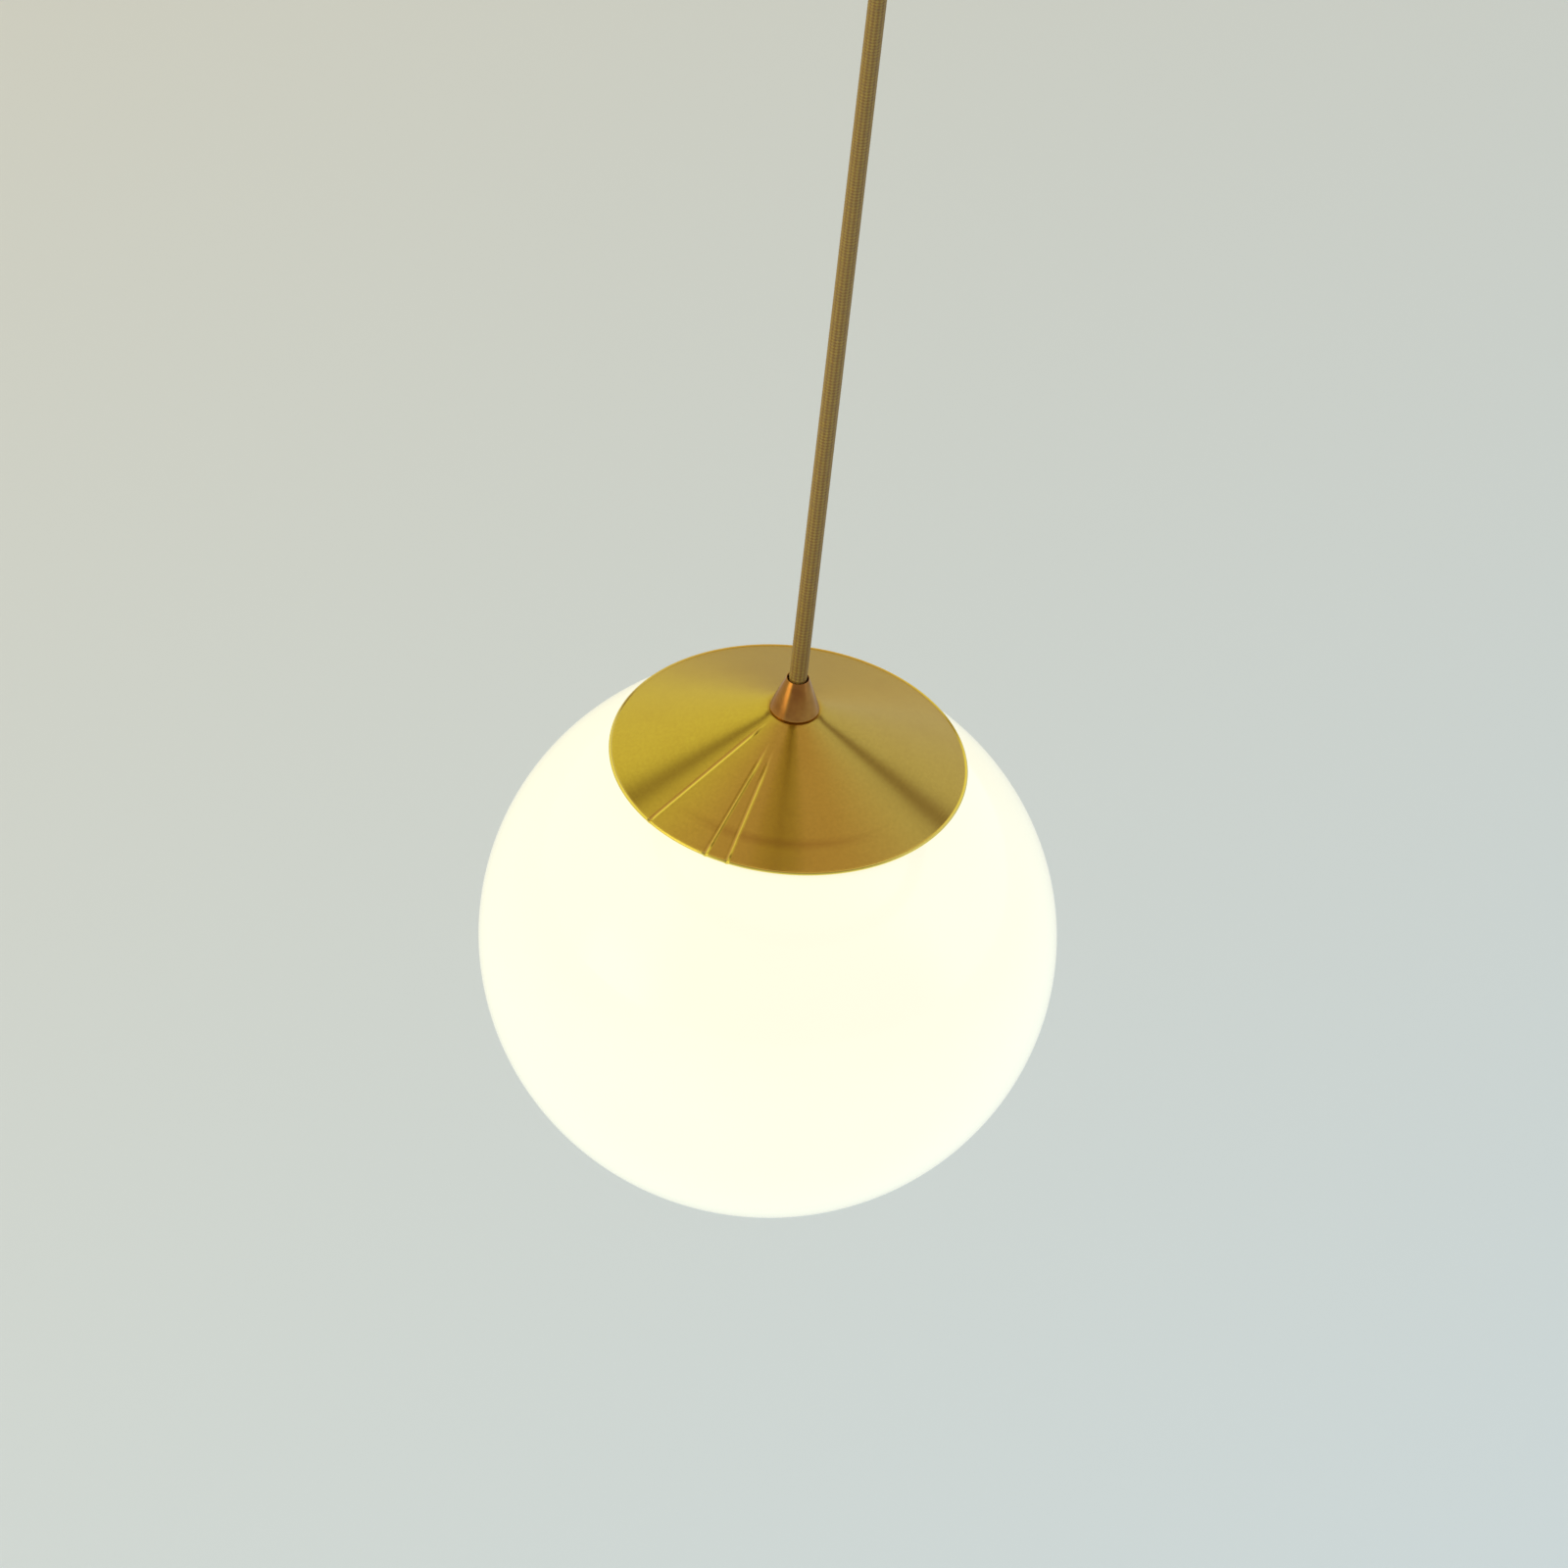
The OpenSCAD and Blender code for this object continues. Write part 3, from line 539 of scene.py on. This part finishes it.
def brass_cap():
    """A spun cone with a flat seat and a turned-down rim."""
    seat_z = high("brass_cap").z
    rim_low = low("brass_cap").z
    rim_z = rim_low + 0.85 * MM
    slope = (seat_z - rim_z) / (CAP_R - CAP_SEAT_R)
    thick = CAP_T / math.cos(math.atan(slope))
    top, under = [], []
    for k in range(CAP_RINGS + 1):
        t = k / CAP_RINGS
        r = CAP_SEAT_R + (CAP_R - 1.0 * MM - CAP_SEAT_R) * t
        z = seat_z - slope * (r - CAP_SEAT_R)
        if k == 0:
            z = seat_z - 0.06 * MM       # the seat's edge is a soft bend
        top.append(Vector((r, z)))
        under.append(Vector((min(r, CAP_R - 1.6 * MM), z - thick)))
    rim = []
    rim_centre = Vector((CAP_R - BEAD_R, rim_low + BEAD_R))
    for k in range(11):
        a = math.radians(68 - 215 * k / 10)
        rim.append(rim_centre + BEAD_R * Vector((math.cos(a), math.sin(a))))
    outline = [Vector((CAP_HOLE_R, seat_z)), Vector((CAP_SEAT_R - 0.7 * MM, seat_z))] + top + rim
    outline += list(reversed(under)) + [Vector((CAP_HOLE_R, seat_z - thick))]

    def press(r, angle, z):
        dent = cap_dent(r, angle)
        return r - dent * 0.5, z - dent

    lathe("brass_cap_spun", outline, "satin_brass", "lamp_head", "brass_cap", steps=cap_angles(),
          change=press, smooth=35)


brass_cap()

# ---- The two cord grips ----

GRIP_MOUTH_R = 3.9 * MM
GRIP_BORE_R = 3.4 * MM
GRIP_THREAD_R = 5.05 * MM


def cord_grip(name, node, body, up):
    """A turned cone with a fine groove under its foot and a rounded, countersunk mouth."""
    foot = low(node).z if up > 0 else high(node).z
    base_r = radius(node)
    shape = [
        (GRIP_THREAD_R, 0), (base_r - 0.5 * MM, 0), (base_r - 0.5 * MM, 0.25 * MM),
        (base_r - 0.05 * MM, 0.4 * MM), (base_r - 0.05 * MM, 0.8 * MM, 0.15 * MM),
        (GRIP_MOUTH_R + 0.03 * MM, GRIP_H - 0.03 * MM, 0.25 * MM),
        (GRIP_BORE_R + 0.35 * MM, GRIP_H, 0.08 * MM), (GRIP_BORE_R, GRIP_H - 0.9 * MM),
        (GRIP_BORE_R, 6.6 * MM), (GRIP_THREAD_R, 5.5 * MM),
    ]
    outline = [Vector((p.x, foot + up * p.y)) for p in rounded(shape, 0.12 * MM, 4)]
    return lathe(name, outline, "copper_bronze", body, node, steps=128)


cord_grip("lamp_grip_turned", "lamp_cord_grip", "lamp_head", 1)
cord_grip("canopy_grip_turned", "canopy_cord_grip", "ceiling_mount", -1)

# ---- The turned, moulded and threaded pieces ----

HOLDER_TOP = high("holder_cap").z
BULB_TIP = high("bulb_contact").z
LIP_TOP = high("rim_gasket").z
E27_PITCH = 3.63 * MM


def turned(name, node, corners, zero, size=0.15, steps=96, change=None, smooth=40.0):
    """A lathe piece for one CAD node. Its corners and their roundings are millimetres from height zero."""
    scaled = [tuple(value * MM for value in corner) for corner in corners]
    outline = [Vector((p.x, zero + p.y)) for p in rounded(scaled, size * MM, 4)]
    return lathe(name, outline, SLOT_OF[node], BODY_OF[node], node,
                 steps=steps, change=change, smooth=smooth)


def ladder(r, start, end, count):
    """Close, sharp corners along a straight wall, for a thread to bend."""
    return [(r, start + (end - start) * k / count, 0) for k in range(count + 1)]


def thread(start, end, pitch, depth, from_r):
    """A right-handed rounded thread, pressed in between two heights on the walls outside from_r."""
    def cut(r, angle, z):
        fade = max(0.0, min(1.0, 2 * (z - start) / pitch, 2 * (end - z) / pitch))
        wave = 0.5 - 0.5 * math.cos(math.tau * z / pitch - angle)
        return (r - depth * fade * wave if r > from_r else r), z
    return cut


def ribs(count, depth, from_r, start, end):
    """Upright grip ribs on the wall outside from_r."""
    def cut(r, angle, z):
        on = r > from_r and start < z < end
        return (r - depth * (0.5 + 0.5 * math.cos(count * angle)) ** 3 if on else r), z
    return cut


def canopy():
    """The ceiling cup, with its bottom edge rounded and its open top against the ceiling."""
    corners = [
        (50, 0, 0.35), (50, -28, 3.2), (9.5, -33, 0.8), (5.2, -33, 0.2), (5.2, -31.8, 0.2),
        (9.5, -31.8, 0.8), (48.8, -26.8, 2.0), (48.8, 0, 0.35),
    ]
    turned("canopy_spun", "ceiling_canopy", corners, 0, steps=144)


def rim_ring():
    """The soft ring on the globe's cut edge."""
    corners = [
        (53.2, -4.6), (54, -4.4), (54, -0.35), (55.4, -1.2), (55.4, -0.8, 0.2), (54.3, 0, 0.3),
        (53.2, 0, 0.3),
    ]
    turned("rim_ring_moulded", "rim_gasket", corners, LIP_TOP, steps=144)


def holder():
    """The E27 lampholder: its cap, its ribbed skirt and its threaded shell."""
    neck = [(5.1, 0), (8, 0, 0.4), (8.5, -0.5), (8.5, -4, 0.8)]
    bends = (1.45, 1.15, 0.85, 0.55, 0.25, 0.0)
    dome = [(8.5 + 11 * math.cos(a), -13 + 8 * math.sin(a), 0.5) for a in bends]
    inside = [(19.5, -21.7, 0.5), (17.4, -21.7), (17.4, -13), (15.5, -8.2), (5.1, -7)]
    turned("holder_cap_moulded", "holder_cap", neck + dome + inside, HOLDER_TOP, 0.4, 144)
    skirt = [
        (17.3, -15.8), (17.3, -21.8), (19.5, -21.8, 0.5), (19.5, -24), (19.3, -25), (19.5, -26),
        (19.5, -52.3), (18.8, -53.8, 0.5), (15.6, -53.8, 0.4), (15, -52.3), (15, -25.4), (14.2, -25.4),
        (14.2, -24.1), (15, -24.1), (15, -15.8),
    ]
    grip = ribs(36, 0.45 * MM, 19.4 * MM, HOLDER_TOP - 52 * MM, HOLDER_TOP - 26 * MM)
    turned("holder_body_ribbed", "holder_body", skirt, HOLDER_TOP, 0.25, 288, grip)
    shell_top, shell_low = high("holder_thread_shell").z, low("holder_thread_shell").z
    wall = ladder(14, 0, -26, 104) + ladder(13.5, -26, 0, 104)
    groove = thread(shell_low + 2 * MM, shell_top - 3 * MM, E27_PITCH, 0.33 * MM, 0)
    turned("holder_shell_threaded", "holder_thread_shell", wall, shell_top, change=groove)


def bulb():
    """An LED bulb: its threaded base, collar, opal envelope, insulator and tip contact."""
    base = [(11, -4.5), (11.5, -4.5, 0.3)] + ladder(13.1, -7, -26.4, 80)
    base += ladder(12.7, -26.4, -7.2, 80) + [(11, -5)]
    crest = thread(BULB_TIP - 25.6 * MM, BULB_TIP - 7.4 * MM, E27_PITCH, 0.75 * MM, 12.6 * MM)
    turned("bulb_base_threaded", "bulb_base_shell", base, BULB_TIP, 0.1, change=crest, smooth=60)
    collar = [
        (12.6, -23), (12.6, -26.5), (13.4, -26.5, 0.4), (15, -29, 2.0), (22.6, -45, 6.0), (24.5, -53.8, 0.4),
        (22.9, -53.8), (22.9, -52.2), (21.2, -52.2), (21, -45.5, 3.0), (13.4, -29.5, 1.0),
        (11.2, -26.5), (11.2, -23),
    ]
    turned("bulb_collar_moulded", "bulb_collar", collar, BULB_TIP, steps=128)
    wide_r, upper_rz, wall = 30 * MM, 41.6 * MM, 1.2 * MM
    wide_z = BULB_TIP - 78 * MM
    stop = math.degrees(math.asin(24 * MM / upper_rz))
    outer = ellipse(wide_r, wide_r, -90, 0, 40, wide_z) + ellipse(wide_r, upper_rz, 2, stop, 20, wide_z)
    inner_r = wide_r - wall
    inner = ellipse(inner_r, upper_rz, stop, 2, 20, wide_z) + ellipse(inner_r, inner_r, 0, -90, 40, wide_z)
    outer[0].x = inner[-1].x = 0.0
    lathe("bulb_envelope_smooth", outer + inner, "bulb_opal", "bulb", "bulb_envelope", steps=128)
    disc = [(0, -5.2), (10.9, -5.2, 0.2), (10.9, -4.4, 0.4), (5.6, -1.6, 0.3), (0, -1.6)]
    turned("bulb_insulator_fused", "bulb_insulator", disc, BULB_TIP)
    tip = [(0, -1.5), (5.4, -1.5, 0.2), (4.8, -0.7, 0.5), (2.5, 0, 1.2), (0, 0)]
    turned("bulb_tip_rounded", "bulb_contact", tip, BULB_TIP)


def nipple(name, node):
    """An M10 x 1 tube, with its thread."""
    top, bottom = high(node).z, low(node).z
    length = (top - bottom) / MM
    rungs = round(length * 6)
    wall = ladder(5, 0, -length, rungs) + [(3.6, -length, 0.15), (3.6, 0, 0.15)]
    groove = thread(bottom, top, 1.0 * MM, 0.5 * MM, 4.9 * MM)
    turned(name, node, wall, top, steps=48, change=groove, smooth=60)


canopy()
rim_ring()
holder()
bulb()
nipple("lamp_nipple_threaded", "lamp_nipple")
nipple("canopy_nipple_threaded", "canopy_nipple")


def smoothed(node):
    """The CAD wire's own shape with its facets shaded as one round skin."""
    mesh = frame["nodes"][node].data.copy()
    piece = bpy.data.objects.new(node + "_round", mesh)
    piece.matrix_world = frame["nodes"][node].matrix_world
    bpy.context.scene.collection.objects.link(piece)
    weld(mesh)
    mesh.shade_smooth()
    mesh.set_sharp_from_angle(angle=math.radians(60))
    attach(piece, BODY_OF[node])
    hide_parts(node)


for side in ("canopy", "lamp"):
    for wire in ("brown", "blue", "earth"):
        smoothed(f"{side}_wire_{wire}")


SLOT_HALF = 0.25 * MM        # half the width of a grub screw's slot
SLOT_DEPTH = 0.5 * MM
SCREW_PROUD = 0.12 * MM
SCREW_ARC = 16               # steps round half a screw


def grub_screw(name, node, cone):
    """A slotted grub screw across a grip, its end just proud of the cone."""
    lo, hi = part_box(node)
    middle, r = (lo + hi) / 2, (hi.x - lo.x) / 2
    share = abs(middle.z - cone) / GRIP_H
    outside = radius("lamp_cord_grip") * (1 - share) + GRIP_MOUTH_R * share
    turns = [math.pi * k / SCREW_ARC for k in range(SCREW_ARC + 1)]
    work = bmesh.new()
    for side in (-1, 1):
        # Each half stands on its side of the driver's slot
        ring = [(side * max(SLOT_HALF, r * math.sin(a)), r * math.cos(a)) for a in turns]
        near = [work.verts.new((middle.x + x, lo.y, middle.z + z)) for x, z in ring]
        far = [work.verts.new((middle.x + x, outside + SCREW_PROUD, middle.z + z)) for x, z in ring]
        for k in range(len(ring)):
            j = (k + 1) % len(ring)
            work.faces.new((near[k], near[j], far[j], far[k]))
        work.faces.new(near)
        work.faces.new(far)
    # A web joins the halves up to the bottom of the slot
    floor = outside - SLOT_DEPTH
    painted_light_slant = SLOT_HALF + 0.01 * MM
    square = ((-painted_light_slant, -r), (painted_light_slant, -r), (painted_light_slant, r), (-painted_light_slant, r))
    web = [(x, y, z) for y in (lo.y, floor) for x, z in square]
    corners = [work.verts.new((middle.x + x, y, middle.z + z * 0.98)) for x, y, z in web]
    for quad in ((0, 1, 2, 3), (4, 5, 6, 7), (0, 1, 5, 4), (1, 2, 6, 5), (2, 3, 7, 6), (3, 0, 4, 7)):
        work.faces.new([corners[k] for k in quad])
    bmesh.ops.recalc_face_normals(work, faces=work.faces)
    mesh = bpy.data.meshes.new(name)
    work.to_mesh(mesh)
    work.free()
    mesh.materials.append(MATERIALS[SLOT_OF[node]])
    mesh.shade_smooth()
    mesh.set_sharp_from_angle(angle=math.radians(40))
    piece = bpy.data.objects.new(name, mesh)
    bpy.context.scene.collection.objects.link(piece)
    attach(piece, BODY_OF[node])
    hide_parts(node)


grub_screw("lamp_grub_screw", "lamp_grip_screw", low("lamp_cord_grip").z)
grub_screw("canopy_grub_screw", "canopy_grip_screw", high("canopy_cord_grip").z)

# ---- The braided cord ----


def braid_relief(angle, z):
    """Height of the braid at a place, from 0 between strands to 1 on the crown of one."""
    turns = angle * STRANDS / math.tau
    along = z * STRANDS / BRAID_PITCH
    left, right = turns + along, turns - along
    over = (math.floor(left) + math.floor(right)) % 2
    painted_light_slant, run = (left, right) if over else (right, left)
    crown = math.sin(math.pi * (painted_light_slant % 1.0))
    arch = math.sin(math.pi * (run % 1.0))
    return max(0.0, crown) ** 0.55 * (0.55 + 0.45 * arch)


CORE_R = CORD_D / 2 - 0.20 * MM
BRAID_RELIEF = 0.26 * MM
CORD_SIDES = 72
CORD_STEP = 0.31 * MM
BALL_ANGLES = (0.3, 0.6, 0.9, 1.2, 1.4)


def braided(name, z_low, z_high, body, ball_ends, *nodes):
    """A braided tube. Its ends are flat, or half balls that turn inside the grips' mouths."""
    rings = max(4, round((z_high - z_low) / CORD_STEP))
    rows = [(z_low + (z_high - z_low) * k / rings, 1.0) for k in range(rings + 1)]
    if ball_ends:
        ball = [(CORE_R * math.sin(a), math.cos(a)) for a in BALL_ANGLES]
        rows = [(z_low - rise, share) for rise, share in reversed(ball)] + rows
        rows += [(z_high + rise, share) for rise, share in ball]
    points, faces = [], []
    for z, share in rows:
        for k in range(CORD_SIDES):
            angle = math.tau * k / CORD_SIDES
            r = (CORE_R + BRAID_RELIEF * braid_relief(angle, z)) * share
            points.append((r * math.cos(angle), r * math.sin(angle), z))
    for row in range(len(rows) - 1):
        for k in range(CORD_SIDES):
            a, b = row * CORD_SIDES + k, row * CORD_SIDES + (k + 1) % CORD_SIDES
            faces.append((a, b, b + CORD_SIDES, a + CORD_SIDES))
    for row, order in ((0, -1), (len(rows) - 1, 1)):
        points.append((0, 0, rows[row][0]))
        middle = len(points) - 1
        for k in range(CORD_SIDES):
            a, b = row * CORD_SIDES + k, row * CORD_SIDES + (k + 1) % CORD_SIDES
            faces.append((a, b, middle) if order > 0 else (b, a, middle))
    return make_piece(name, points, faces, "textile_cord", body, *nodes, smooth=75)


NECK = 6 * MM                # length that flexes next to each grip
ROUTE_STEP = 15 * MM         # between the points of the cord's path
BALL_ROOM = 3.4 * MM         # kept free in each grip for the cord's half-ball end
cord = braided("braided_cord", LAMP_PIVOT, TOP_PIVOT, None, True,
               "cord", "cord_neck_top", "cord_neck_bottom")
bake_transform(cord)
heights = [TOP_PIVOT, TOP_PIVOT - NECK]
while heights[-1] > LAMP_PIVOT + NECK + 1.5 * ROUTE_STEP:
    heights.append(heights[-1] - ROUTE_STEP)
heights += [LAMP_PIVOT + NECK, LAMP_PIVOT]
braided("cord_end_in_canopy", low("cord_canopy_end").z + BALL_ROOM, high("cord_canopy_end").z,
        "ceiling_mount", False, "cord_canopy_end")
braided("cord_end_in_lamp", low("cord_lamp_end").z, high("cord_lamp_end").z - BALL_ROOM,
        "lamp_head", False, "cord_lamp_end")

# ---- Floor, world and lamps ----

FLOOR_Z = -1.35
FLOOR_HALF = 30.0
# Painted light on the floor, in its colour and in a glow: warm to the back left, cool to the front right
FLOOR_WARM, FLOOR_COOL = rgb(0.70, 0.705, 0.605), rgb(0.635, 0.745, 0.785)
FLOOR_WARM_GLOW, FLOOR_COOL_GLOW = rgb(0.080, 0.110, 0.105), rgb(0.065, 0.125, 0.175)


def stage_material():
    """A pale floor with painted light: warmer to the back left and cooler to the front right, with a painted glow
    in the same slant. It can't be seen from below.
    """
    s = Shader("floor", Roughness=0.9, Specular_IOR_Level=0.1)
    x, y, _ = s.axes()
    slant = s.math("ADD", s.math("MULTIPLY", x, 0.8), s.math("MULTIPLY", y, -0.6))
    painted_light_slant = s.ramp(slant, -1.6, 0.2)
    s.color(s.mix(painted_light_slant, FLOOR_WARM, FLOOR_COOL))
    s.glow(s.mix(painted_light_slant, FLOOR_WARM_GLOW, FLOOR_COOL_GLOW), 1.0)
    clear = s.add("ShaderNodeBsdfTransparent").outputs[0]
    below = s.add("ShaderNodeNewGeometry").outputs["Backfacing"]
    both = s.add("ShaderNodeMixShader", {0: below, 1: s.bsdf.outputs[0], 2: clear})
    s.tree.links.new(both.outputs[0], s.tree.nodes["Material Output"].inputs["Surface"])
    return s.material


def make_floor():
    mesh = bpy.data.meshes.new("floor")
    h = FLOOR_HALF
    corners = [(-h, -h, FLOOR_Z), (h, -h, FLOOR_Z), (h, h, FLOOR_Z), (-h, h, FLOOR_Z)]
    mesh.from_pydata(corners, [], [(0, 1, 2, 3)])
    mesh.materials.append(stage_material())
    floor = bpy.data.objects.new("floor", mesh)
    bpy.context.scene.collection.objects.link(floor)


LEFT_WALL, RIGHT_WALL = rgb(0.97, 0.96, 0.55), rgb(0.745, 0.74, 0.97)
BACK_WALL, FRONT_WALL = rgb(0.76, 0.60, 0.37), rgb(0.36, 0.32, 0.32)
OVERHEAD, RAIL, LAMP_GLOW = rgb(0.66, 0.48, 0.46), rgb(0.17, 0.085, 0.09), rgb(2.1, 1.75, 1.1)
SEEN_ROOM = rgb(0.62, 0.66, 0.67)
RAIL_Z, RAIL_SLANT = 0.69, 0.065
RAIL_CORE, RAIL_EDGE = 0.026, 0.046      # half the rail's width, where it is dark and where it ends


def make_world():
    """A room round the lamp: bright at the left, cooler at the right, dimmer overhead and in front."""
    world = bpy.data.worlds.new("room")
    bpy.context.scene.world = world
    world.use_nodes = True
    tree = world.node_tree
    tree.nodes.clear()
    s = Nodes(tree)
    way = s.add("ShaderNodeSeparateXYZ", {0: s.add("ShaderNodeTexCoord").outputs["Generated"]})
    x, y, z = way.outputs
    sides = s.mix(s.ramp(x, -0.30, 0.30), LEFT_WALL, RIGHT_WALL)
    back = s.math("MULTIPLY", s.ramp(s.math("ABSOLUTE", x), 0.06, 0.30, 1.0, 0.0), s.ramp(y, 0.5, 0.8))
    level = s.mix(back, sides, BACK_WALL)
    front = s.math("MULTIPLY", s.ramp(y, -0.45, -0.15, 1.0, 0.0), s.ramp(x, -0.72, -0.50))
    level = s.mix(front, level, FRONT_WALL)
    # A lamp's glow low at the front left, which runs down the cord grip as a streak
    low_down = s.ramp(s.math("ABSOLUTE", z), 0.15, 0.40, 1.0, 0.0)
    glow = s.math("MULTIPLY", s.ramp(x, -0.76, -0.64, 1.0, 0.0), s.ramp(y, -0.35, -0.20, 1.0, 0.0))
    level = s.mix(s.math("MULTIPLY", glow, low_down), level, LAMP_GLOW)
    over = s.mix(s.ramp(z, 0.74, 0.95), level, OVERHEAD)
    # A dark picture rail, a little higher at the left
    rail = s.math("SUBTRACT", RAIL_Z, s.math("MULTIPLY", x, RAIL_SLANT))
    band = s.ramp(s.math("ABSOLUTE", s.math("SUBTRACT", z, rail)), RAIL_CORE, RAIL_EDGE, 1.0, 0.0)
    room = s.mix(band, over, RAIL)
    seen = s.add("ShaderNodeBackground", {0: SEEN_ROOM, 1: 1.0})
    felt = s.add("ShaderNodeBackground", {0: room, 1: 1.0})
    camera_ray = s.add("ShaderNodeLightPath").outputs["Is Camera Ray"]
    both = s.add("ShaderNodeMixShader", {0: camera_ray, 1: felt.outputs[0], 2: seen.outputs[0]})
    out = s.add("ShaderNodeOutputWorld")
    tree.links.new(both.outputs[0], out.inputs["Surface"])


def soft_lamp(name, place, size, power, color):
    """A square lamp aimed at the globe, which polished metal doesn't mirror."""
    data = bpy.data.lights.new(name, "AREA")
    data.size, data.energy, data.color = size, power, color
    lamp = bpy.data.objects.new(name, data)
    lamp.location = place
    aim = Vector((0, 0, GLOBE_Z)) - Vector(place)
    lamp.rotation_euler = aim.to_track_quat("-Z", "Y").to_euler()
    lamp.visible_glossy = False
    bpy.context.scene.collection.objects.link(lamp)


make_floor()
make_world()
soft_lamp("key", (-2.2, -1.4, 1.6), 1.4, 38, (1.0, 0.96, 0.88))
soft_lamp("fill", (2.4, -1.0, 0.8), 1.6, 14, (0.90, 0.95, 1.0))

bpy.context.scene.view_settings.view_transform = "Standard"
